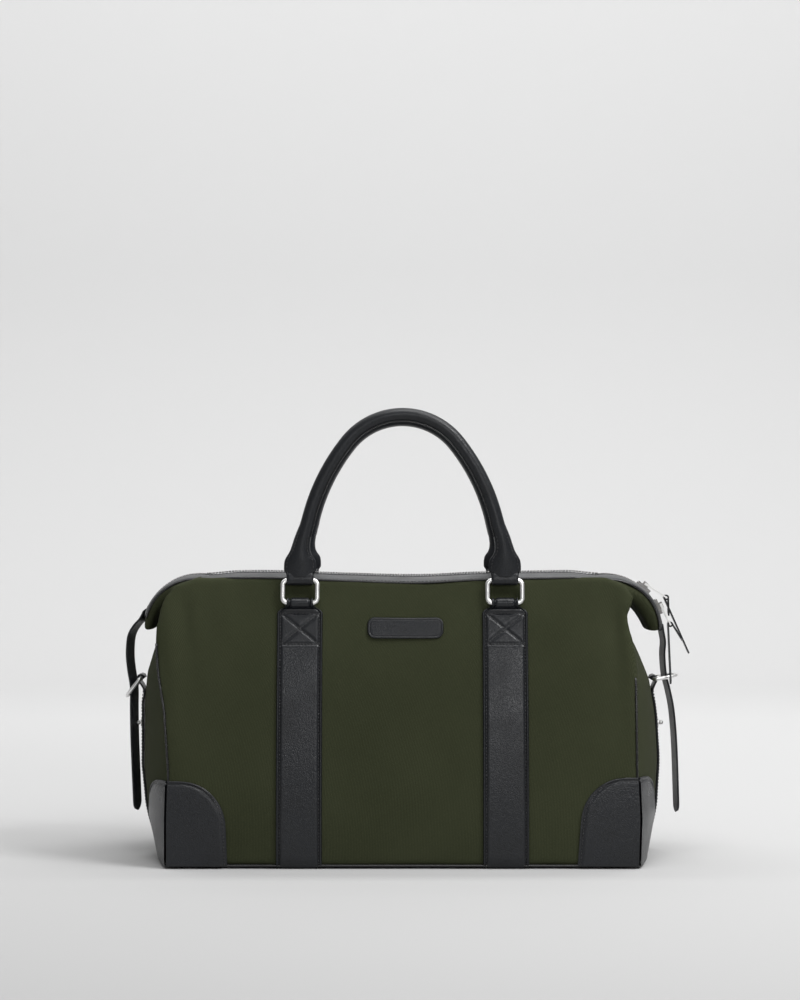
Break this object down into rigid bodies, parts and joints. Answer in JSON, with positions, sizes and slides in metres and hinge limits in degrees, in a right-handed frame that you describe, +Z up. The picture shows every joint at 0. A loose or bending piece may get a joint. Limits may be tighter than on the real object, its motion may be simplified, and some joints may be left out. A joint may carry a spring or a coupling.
{
  "type": "duffel bag",
  "caption": "Weekend duffel bag: fabric body on leather bands, two rolled handles on rings, folded zip wings with straps through side D-rings.",
  "frame": {"origin": "on the floor under the middle of the base", "axes": "+X to the bag's right along its length, seen from the front, +Y towards its back, +Z up"},
  "size_m": [0.5918, 0.226, 0.462],
  "materials": {
    "fabric": "matt twill, dark olive",
    "leather": "pebbled, semi-gloss black",
    "leather_edge": "painted satin edge",
    "steel": "satin nickel plated",
    "zip_metal": "polished teeth",
    "lining_fabric": "plain woven lining",
    "board": "plain fibreboard",
    "cord": "twisted cotton core"
  },
  "bodies": {
    "bag": {"base_panel": "fabric", "base_board": "board", "front_panel": "fabric", "back_panel": "fabric", "front_piping": "leather_edge", "back_piping": "leather_edge", "lining": "lining_fabric", "name_patch": "leather", "left_gusset": "fabric", "left_mouth_end": "fabric", "left_handle_band": "leather", "front_left_corner": "leather", "back_left_corner": "leather", "left_side_band": "leather", "left_stud": "steel", "left_strap": "leather", "right_gusset": "fabric", "right_mouth_end": "fabric", "right_handle_band": "leather", "front_right_corner": "leather", "back_right_corner": "leather", "right_side_band": "leather", "right_stud": "steel", "right_strap": "leather"},
    "front_flap": {"front_facing": "leather", "front_zip_tape": "lining_fabric", "front_zip_teeth": "zip_metal"},
    "back_flap": {"back_facing": "leather", "back_zip_tape": "lining_fabric", "back_zip_teeth": "zip_metal"},
    "left_wing": {"left_wing_shell": "fabric", "left_zip_end": "lining_fabric", "left_zip_end_teeth": "zip_metal", "left_strap_tab": "leather"},
    "left_d_ring": {"left_d_ring": "steel"},
    "right_wing": {"right_wing_shell": "fabric", "right_zip_end": "lining_fabric", "right_zip_end_teeth": "zip_metal", "right_strap_tab": "leather"},
    "right_d_ring": {"right_d_ring": "steel"},
    "front_left_ring": {"front_left_ring": "steel"},
    "front_right_ring": {"front_right_ring": "steel"},
    "front_handle": {"front_handle": "leather", "front_handle_core": "cord"},
    "back_left_ring": {"back_left_ring": "steel"},
    "back_right_ring": {"back_right_ring": "steel"},
    "back_handle": {"back_handle": "leather", "back_handle_core": "cord"},
    "upper_slider": {"upper_slider": "steel"},
    "upper_puller": {"upper_puller": "steel"},
    "upper_pull": {"upper_pull": "leather"},
    "lower_slider": {"lower_slider": "steel"},
    "lower_puller": {"lower_puller": "steel"},
    "lower_pull": {"lower_pull": "leather"}
  },
  "joints": [
    {"name": "front_left_ring_swing", "type": "hinge", "parent": "bag", "child": "front_left_ring", "pos_m": [-0.10375, -0.081, 0.265], "axis": [1, 0, 0], "range_deg": [0, 90]},
    {"name": "front_right_ring_swing", "type": "hinge", "parent": "bag", "child": "front_right_ring", "pos_m": [0.10375, -0.081, 0.265], "axis": [1, 0, 0], "range_deg": [0, 90]},
    {"name": "front_handle_swing", "type": "hinge", "parent": "front_left_ring", "child": "front_handle", "pos_m": [-0.10375, -0.07622, 0.2875], "axis": [1, 0, 0], "range_deg": [-18, 60]},
    {"name": "back_left_ring_swing", "type": "hinge", "parent": "bag", "child": "back_left_ring", "pos_m": [-0.10375, 0.081, 0.265], "axis": [-1, 0, 0], "range_deg": [0, 90]},
    {"name": "back_right_ring_swing", "type": "hinge", "parent": "bag", "child": "back_right_ring", "pos_m": [0.10375, 0.081, 0.265], "axis": [-1, 0, 0], "range_deg": [0, 90]},
    {"name": "back_handle_swing", "type": "hinge", "parent": "back_left_ring", "child": "back_handle", "pos_m": [-0.10375, 0.07622, 0.2875], "axis": [-1, 0, 0], "range_deg": [-18, 60]},
    {"name": "front_flap_lift", "type": "hinge", "parent": "bag", "child": "front_flap", "pos_m": [0, -0.066, 0.289], "axis": [1, 0, 0], "range_deg": [0, 60]},
    {"name": "back_flap_lift", "type": "hinge", "parent": "bag", "child": "back_flap", "pos_m": [0, 0.066, 0.289], "axis": [-1, 0, 0], "range_deg": [0, 60]},
    {"name": "left_wing_fold", "type": "hinge", "parent": "bag", "child": "left_wing", "pos_m": [-0.216, 0, 0.28], "axis": [0, 1, 0], "range_deg": [0, 40], "deforming": ["left_strap"]},
    {"name": "right_wing_fold", "type": "hinge", "parent": "bag", "child": "right_wing", "pos_m": [0.216, 0, 0.28], "axis": [0, -1, 0], "range_deg": [0, 40], "deforming": ["right_strap"]},
    {"name": "left_d_ring_swing", "type": "hinge", "parent": "bag", "child": "left_d_ring", "pos_m": [-0.272, 0, 0.184], "axis": [0, 1, 0], "range_deg": [-3, 70]},
    {"name": "right_d_ring_swing", "type": "hinge", "parent": "bag", "child": "right_d_ring", "pos_m": [0.2615, 0, 0.183], "axis": [0, -1, 0], "range_deg": [-35, 40]},
    {"name": "upper_slider_travel", "type": "hinge", "parent": "right_wing", "child": "upper_slider", "pos_m": [0.211, 0, 0.233], "axis": [0, -1, 0], "range_deg": [0, 30]},
    {"name": "upper_puller_swing", "type": "hinge", "parent": "upper_slider", "child": "upper_puller", "pos_m": [0.25423, 0, 0.28101], "axis": [0, -1, 0], "range_deg": [0, 100]},
    {"name": "upper_pull_swing", "type": "hinge", "parent": "upper_puller", "child": "upper_pull", "pos_m": [0.27519, 0, 0.26739], "axis": [0, -1, 0], "range_deg": [0, 80]},
    {"name": "lower_slider_travel", "type": "hinge", "parent": "right_wing", "child": "lower_slider", "pos_m": [0.211, 0, 0.233], "axis": [0, -1, 0], "range_deg": [0, 5]},
    {"name": "lower_puller_swing", "type": "hinge", "parent": "lower_slider", "child": "lower_puller", "pos_m": [0.27002, 0, 0.25927], "axis": [0, -1, 0], "range_deg": [0, 10]},
    {"name": "lower_pull_swing", "type": "hinge", "parent": "lower_puller", "child": "lower_pull", "pos_m": [0.27931, 0, 0.23934], "axis": [0, -1, 0], "range_deg": [0, 70]}
  ],
  "couplings": [
    {"joint": "front_right_ring_swing", "follows": "front_left_ring_swing", "ratio": 1},
    {"joint": "back_right_ring_swing", "follows": "back_left_ring_swing", "ratio": 1}
  ]
}
